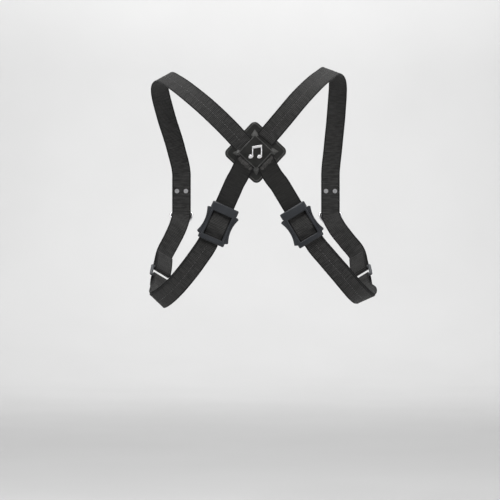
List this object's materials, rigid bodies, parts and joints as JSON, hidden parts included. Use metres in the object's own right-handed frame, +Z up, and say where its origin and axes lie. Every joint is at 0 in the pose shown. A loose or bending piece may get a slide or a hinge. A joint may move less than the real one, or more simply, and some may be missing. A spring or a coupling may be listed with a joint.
{
  "type": "saxophone harness",
  "caption": "Worn back harness for a saxophone: crossing webbing, back patch, strap sliders, arm loops and two D-rings that a hook cord ties to.",
  "frame": {"origin": "on the centre line, level with the tops of the shoulders and midway between back and chest", "axes": "+Z up, the wearer faces +Y, +X is the wearer's right"},
  "size_m": [0.2951, 0.212, 0.3114],
  "materials": {
    "liner": "soft brushed backing",
    "patch": "satin moulded",
    "emblem": "polished",
    "webbing": "woven",
    "elastic": "fine woven elastic",
    "thread": "close stitching",
    "ring_plastic": "fine satin",
    "slider_plastic": "satin moulded",
    "leather": "grained",
    "metal": "polished nickel"
  },
  "bodies": {
    "harness": {"patch_liner": "liner", "patch_base": "patch", "patch_cover": "patch", "patch_emblem": "emblem", "left_shoulder_strap": "webbing", "right_shoulder_strap": "webbing", "left_elastic": "elastic", "right_elastic": "elastic", "left_side_strap": "webbing", "right_side_strap": "webbing", "left_armpit_ring": "ring_plastic", "right_armpit_ring": "ring_plastic", "left_bar_tacks": "thread", "right_bar_tacks": "thread", "left_chest_tab": "leather", "right_chest_tab": "leather", "left_tab_rivets": "metal", "right_tab_rivets": "metal"},
    "left_slider_unit": {"left_slider": "slider_plastic", "left_slider_bridge": "webbing", "left_slider_loop": "webbing"},
    "right_slider_unit": {"right_slider": "slider_plastic", "right_slider_bridge": "webbing", "right_slider_loop": "webbing"},
    "left_ring": {"left_d_ring": "metal"},
    "right_ring": {"right_d_ring": "metal"}
  },
  "joints": [
    {"name": "left_slider_slide", "type": "slide", "parent": "harness", "child": "left_slider_unit", "axis": [0.4067, 0, 0.9135], "range_m": [-0.008, 0.02]},
    {"name": "right_slider_slide", "type": "slide", "parent": "harness", "child": "right_slider_unit", "axis": [-0.515, 0, 0.8572], "range_m": [-0.008, 0.02]},
    {"name": "left_ring_swing", "type": "hinge", "parent": "harness", "child": "left_ring", "pos_m": [-0.1, 0.102, -0.176], "axis": [1, 0, 0], "range_deg": [0, 110]},
    {"name": "right_ring_swing", "type": "hinge", "parent": "harness", "child": "right_ring", "pos_m": [0.1, 0.102, -0.176], "axis": [1, 0, 0], "range_deg": [0, 110]}
  ]
}
